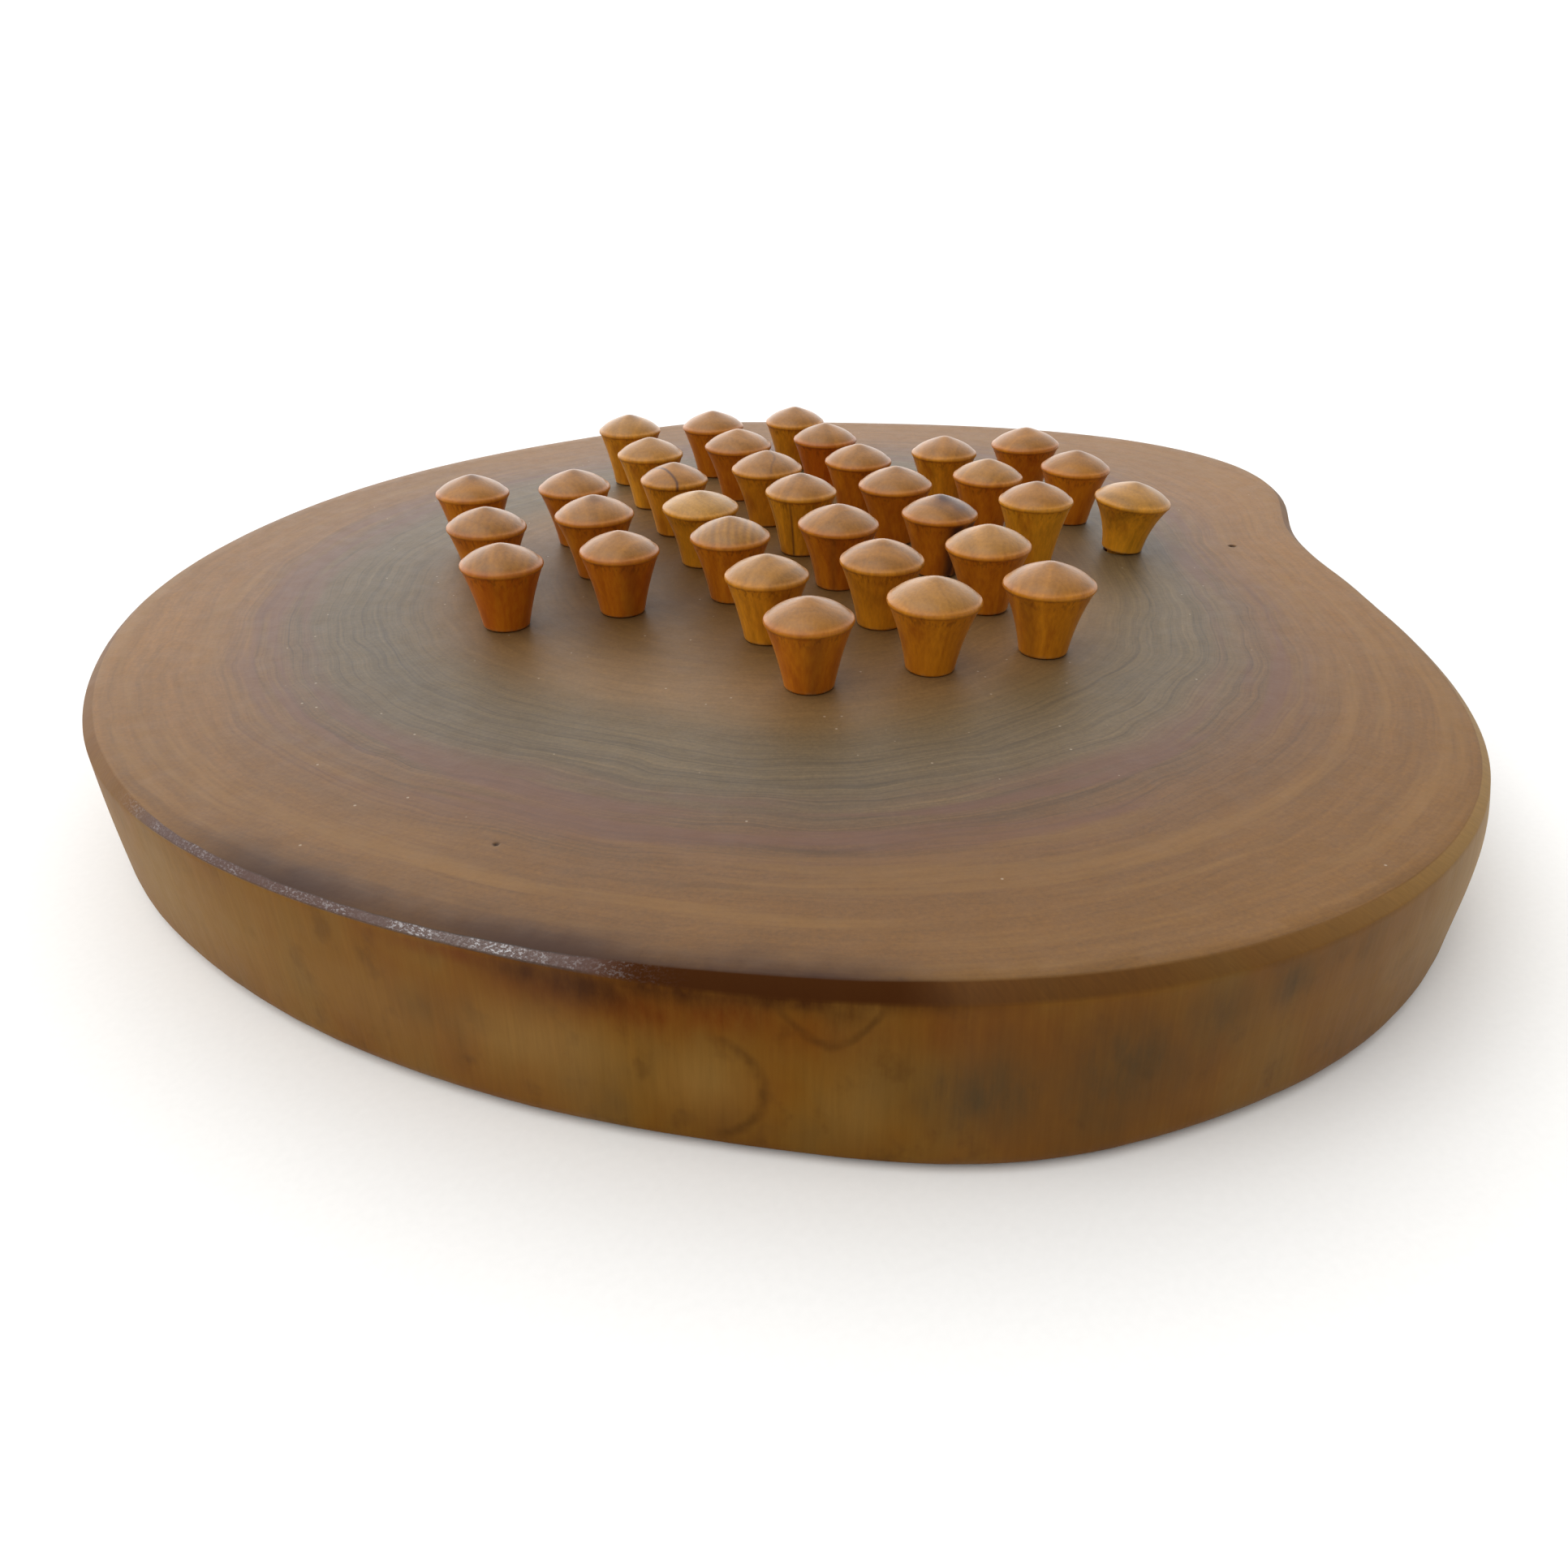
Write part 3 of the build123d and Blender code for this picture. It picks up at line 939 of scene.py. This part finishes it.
def peg_profile(height, radius):
    """The turned outline as (height, radius) rows, fitted to the CAD peg's tip, shoulder, rim and apex."""
    tip, apex = height.min(), height.max()
    shoulder = height[radius > HOLE_RADIUS].min()
    body_foot = shoulder + BASE_ROUNDING
    foot = radius[np.abs(height - body_foot) < 0.15 * MM].max()
    rim, reach = height[radius.argmax()], radius.max()
    lip = rim - LIP_DEPTH
    halfway = (body_foot + lip) / 2
    order = np.argsort(height)
    outside = radius[order] > foot * 0.9
    middle = np.interp(halfway, height[order][outside], radius[order][outside])
    slope = 0.60 * np.clip((middle - foot) / (reach - foot) / USUAL_MIDDLE, 0.5, 1.15)
    stem_foot = tip + STEM_TIP_CHAMFER
    rows = [(tip, 0.0), (tip, STEM_TIP_RADIUS - STEM_TIP_CHAMFER), (stem_foot, STEM_TIP_RADIUS)]
    for share in np.linspace(0.1, 1, 8):
        level = stem_foot + (shoulder - stem_foot) * share
        rows.append((level, STEM_TIP_RADIUS + (STEM_RADIUS - STEM_TIP_RADIUS) * share))
    for bend in np.linspace(0, math.pi / 2, 5):
        rows.append((shoulder + BASE_ROUNDING * (1 - math.cos(bend)), foot - BASE_ROUNDING * (1 - math.sin(bend))))
    body_reach = reach - LIP_OVERHANG
    for share in np.linspace(0, 1, 30)[1:]:
        bulge = slope * share + (1 - slope) * share**2.1
        rows.append((body_foot + (lip - body_foot) * share, foot + (body_reach - foot) * bulge))
    for up, back in LIP_SECTION:
        rows.append((lip + up * MM, reach - back * MM))
    cap_foot, cap_reach = rows[-1]
    for share in np.linspace(1, 0, 26)[1:]:
        rows.append((cap_foot + (apex - cap_foot) * (1 - cap_fall(share)), cap_reach * share))
    rows[-1] = (apex, 0.0)
    return rows, lip


# What sets single pegs apart: how golden the wood is, and how pale the cap, from 0 to 1.
USUAL_GOLDEN = 0.25
GOLDEN = {
    "c1": 0.2,
    "d1": 0.45,
    "e1": 0.5,
    "c2": 0.7,
    "d2": 0.7,
    "e2": 0.35,
    "a3": 0.0,
    "b3": 0.1,
    "f3": 1.0,
    "g3": 1.0,
    "c4": 0.9,
    "d4": 0.9,
    "c5": 0.8,
    "d5": 0.7,
    "f5": 0.8,
    "c6": 1.0,
    "e6": 0.0,
    "c7": 0.8,
    "e7": 0.8,
}
USUAL_PALE_CAP = 0.35
PALE_CAP = {
    "d1": 0.55,
    "e1": 0.35,
    "c2": 0.55,
    "e2": 0.6,
    "c3": 0.6,
    "g3": 0.75,
    "c4": 1.0,
    "f4": 0.5,
    "c6": 0.55,
    "c7": 0.65,
}
# A cap's marks are placed from its axis, in millimetres: first to the right, then away from the player's left corner.
CAP_TURN = -19.0
# Cracks across caps, as (points, strength).
CAP_CRACKS = {
    "c5": ([(-4.2, 0.2), (-2.8, -1.2), (-1.4, -2.8), (0.0, -4.7), (1.15, -6.4), (1.4, -8.0)], 0.85),
    "d5": ([(0.6, 0.2), (1.8, -1.6), (1.8, -3.4), (1.2, -5.0), (1.0, -7.0)], 0.40),
}
# Dark streaks down a body: (heading, half width, strength), in degrees.
BODY_STREAKS = {
    "d4": [(-128, 2.6, 0.75), (-176, 2.6, 0.5)],
    "e3": [(-82, 20, 1.0), (-50, 26, 1.0)],
    "d3": [(-120, 8, 0.3)],
    "c1": [(-100, 16, 0.35)],
    "b3": [(-85, 18, 0.3)],
    "e1": [(-150, 14, 0.3)],
}
# Dark clouds on a cap, as (right, away, radius, strength).
CAP_CLOUDS = {
    "e3": [(1.4, -1.0, 3.4, 0.95), (3.4, -2.4, 3.2, 0.8), (5.4, -0.6, 3.0, 0.6)],
    "b4": [(0.8, -1.0, 1.8, 0.5)],
    "a5": [(0.6, -0.6, 1.5, 0.5)],
    "d4": [(0.4, -0.6, 1.4, 0.4)],
    "c7": [(0.8, 0.2, 1.6, 0.35)],
    "g3": [(3.4, 1.2, 2.2, 0.25)],
}
CAP_STRIPES = {"c3": 0.30, "a3": 0.16, "a4": 0.16}


def distance_to_line(points, line):
    """How far each point of a plan is from a line through several points."""
    least = np.full(len(points), np.inf)
    for start, end in zip(np.array(line[:-1]), np.array(line[1:])):
        span = end - start
        share = np.clip((points - start) @ span / (span @ span), 0, 1)
        least = np.minimum(least, np.hypot(*(points - start - share[:, None] * span).T))
    return least


def peg_marks_and_shade(hole, index, across, depth, above_lip):
    """How dark each point of a peg is marked or shaded, from 0 to 1, with painted shade beside each cap's point."""
    turn = math.radians(CAP_TURN)
    right = (across * math.cos(turn) + depth * math.sin(turn)) / MM
    away = (depth * math.cos(turn) - across * math.sin(turn)) / MM
    plan = np.stack([right, away], axis=1)
    cap = smooth_step(above_lip, 0.7 * MM, 1.2 * MM)
    body = 1 - smooth_step(above_lip, -0.3 * MM, 0.4 * MM)
    # Every cap has painted shade beside its point, where its cone turns away from the light.
    painted_shade_beside_point = np.exp(-(((right - 0.9) / 1.5) ** 2) - (((away + 0.5) / 1.5) ** 2))
    dark = 0.16 * (1 + math.sin(index * 1.7)) * painted_shade_beside_point * cap
    for x, y, radius, strength in CAP_CLOUDS.get(hole, []):
        dark = np.maximum(dark, strength * cap * np.exp(-(np.hypot(right - x, away - y) / radius) ** 3))
    if hole in CAP_CRACKS:
        line, strength = CAP_CRACKS[hole]
        dark = np.maximum(dark, strength * smooth_step(-distance_to_line(plan, line), -0.42, -0.10) * (1 - body))
    if hole in CAP_STRIPES:
        dark = np.maximum(dark, CAP_STRIPES[hole] * cap * (0.5 + 0.5 * np.cos(right * 4.2 + 0.5 * np.sin(away))))
    for heading, half_width, strength in BODY_STREAKS.get(hole, []):
        dark = np.maximum(dark, strength * body * hump(np.arctan2(depth, across), heading, half_width))
    return dark


def make_peg(name, index, wood):
    centre, axis, height, radius = read_peg(name)
    rows, lip = peg_profile(height, radius)
    hole = name.removeprefix("peg_")
    marked = any(hole in marks for marks in (CAP_CRACKS, CAP_CLOUDS, BODY_STREAKS))
    steps = FINE_LATHE_STEPS if marked else LATHE_STEPS
    turns = np.linspace(0, 2 * math.pi, steps, endpoint=False)
    side = np.cross((0, 1, 0), axis)
    side = side / np.linalg.norm(side)
    other = np.cross(axis, side)
    spokes = np.cos(turns)[:, None] * side + np.sin(turns)[:, None] * other
    out_of_round = 0.006 * np.cos(2 * turns + index) + 0.004 * np.cos(3 * turns + 2 * index)
    vertices, faces = [], []
    for level, reach in rows:
        if level > lip:
            reach = reach * (1 + out_of_round)
        elif reach > STEM_RADIUS:
            reach = reach * (1 + out_of_round * 0.5)
        reach = np.broadcast_to(reach, turns.shape)[:, None]
        vertices.append(centre + level * axis + reach * spokes)
    for row in range(len(rows) - 1):
        for k in range(steps):
            a, b = row * steps + k, row * steps + (k + 1) % steps
            faces.append((a, b, b + steps, a + steps))
    mesh = bpy.data.meshes.new(name)
    mesh.from_pydata(np.concatenate(vertices).tolist(), [], faces)
    weld(mesh)
    points = vertices_of(mesh)
    along = (points - centre) @ axis
    across, depth = (points - centre) @ side, (points - centre) @ other
    # Each peg is cut from another place in its timber, with the grain along its axis.
    spin = index * 2.4
    grain = np.stack(
        [
            across * math.cos(spin) - depth * math.sin(spin) + (25 + index * 9.7 % 40) * MM,
            across * math.sin(spin) + depth * math.cos(spin),
            along + index * 37 * MM,
        ],
        axis=1,
    )
    put_attribute(mesh, "grain", grain / MM, "FLOAT_VECTOR")
    foot = height[radius > HOLE_RADIUS].min()
    at_foot = smooth_step(along, foot + 0.7 * MM, foot + 0.1 * MM) * (along > foot - 0.05 * MM)
    numbers = {
        "below_lip": (lip - along) / MM,
        "foot": at_foot,
        "tone": np.full(len(points), (index * 0.618) % 1.0),
        "golden": np.full(len(points), GOLDEN.get(hole, USUAL_GOLDEN)),
        "cap_pale": np.full(len(points), PALE_CAP.get(hole, USUAL_PALE_CAP)),
        "dark": peg_marks_and_shade(hole, index, across, depth, along - lip),
    }
    for key, values in numbers.items():
        put_attribute(mesh, key, values)
    mesh.materials.append(wood)
    mesh.shade_smooth()
    mesh.set_sharp_from_angle(angle=math.radians(50))
    add_piece(f"{name}_turned", mesh, name, name)


# The pegs' colours, as linear red, green and blue.
PEG_GROUND = [(0.32, (0.370, 0.074, 0.002)), (0.50, (0.480, 0.118, 0.003)), (0.66, (0.530, 0.164, 0.005))]
GOLDEN_WOOD = (0.580, 0.240, 0.010)
PEG_CLOUD = (0.270, 0.055, 0.003)
CAP_DEEP = (0.232, 0.076, 0.002)
CAP_PALE_AND_SHEEN = (0.360, 0.176, 0.025)
TORN_GRAIN = (0.110, 0.030, 0.003)
LIP_HIGHLIGHT_AND_WEAR = (0.520, 0.220, 0.025)
DARK_MARK_AND_SHADE = (0.055, 0.017, 0.010)
FOOT_DUST = (0.420, 0.260, 0.110)


def peg_wood():
    """Lacquered hardwood, turned with its grain along the peg."""
    s = Shader("peg_wood")
    place = s.attribute("grain", output="Vector")
    x, y, _ = s.split(place)
    below = s.attribute("below_lip")

    def grain_noise(along, scale, detail, roughness=0.5):
        """Noise that is drawn out along the peg, more so the smaller along is."""
        return s.noise(s.scaled(place, (1, 1, along)), scale, detail, roughness)

    flat = s.math("POWER", s.math("ADD", s.times(x, x), s.times(y, y)), 0.5)
    bent = s.math("ADD", flat, s.times(grain_noise(0.15, 0.15, 2), 3.0))
    rings = s.noise(s.join(s.times(bent, 0.45), s.attribute("tone"), 0.0), 1.0, 2)
    fibres = grain_noise(0.06, 1.6, 4, 0.65)
    value = s.math("ADD", s.times(rings, 0.55), s.times(fibres, 0.45))
    wood = s.ramp(value, PEG_GROUND)
    wood = s.lay(wood, s.tint(GOLDEN_WOOD, s.factor(value, 2.2)), s.attribute("golden"))
    wood = s.lay(wood, PEG_CLOUD, s.step(grain_noise(0.2, 0.30, 3), 0.50, 0.72), 0.45)

    # Caps are end grain, which took the lacquer paler. Their pale tops are also painted sheen.
    on_cap = s.step(below, 0.1, -1.9)
    cap = s.mix(s.attribute("cap_pale"), CAP_DEEP, CAP_PALE_AND_SHEEN)
    wood = s.lay(wood, s.tint(cap, s.factor(value, 1.7)), on_cap)
    # Torn end grain just under the lip, and a pale line at the lip's foot: painted highlight and wear.
    strokes = s.step(grain_noise(0.10, 1.9, 2), 0.50, 0.64)
    torn = s.math("ADD", below, s.shift(grain_noise(0.10, 1.1, 2), 1.6))
    wood = s.lay(wood, TORN_GRAIN, strokes, s.step(torn, -0.6, 0.1), s.step(torn, 2.6, 0.6), 0.42)
    wood = s.lay(wood, LIP_HIGHLIGHT_AND_WEAR, s.step(below, 0.0, -0.2), s.step(below, -0.7, -0.35), 0.30)
    # The marks of single pegs with the painted shade beside each cap's point, and dust round the foot.
    wood = s.lay(wood, DARK_MARK_AND_SHADE, s.attribute("dark"), s.line(grain_noise(0.25, 0.5, 3), 0.8, 0.6))
    wood = s.lay(wood, FOOT_DUST, s.attribute("foot"), s.step(s.noise(place, 1.4, 3), 0.40, 0.60), 0.45)
    roughness = s.line(fibres, 0.16, 0.26)
    s.finish(wood, roughness, s.line(on_cap, 0.22, 0.26), fibres, 0.04 * MM)
    return s.material


# ---------------------------------------------------------------- everything

bpy.context.scene.view_settings.view_transform = "Standard"
make_camera()
make_world(front=0.38, back=2.65)
make_soft_sun(heading=200, elevation=56, spread=70, strength=1.65, colour=(1.0, 0.98, 0.93))
make_floor()
make_board()
turned_wood = peg_wood()
for number, peg_name in enumerate(PEGS):
    make_peg(peg_name, number, turned_wood)
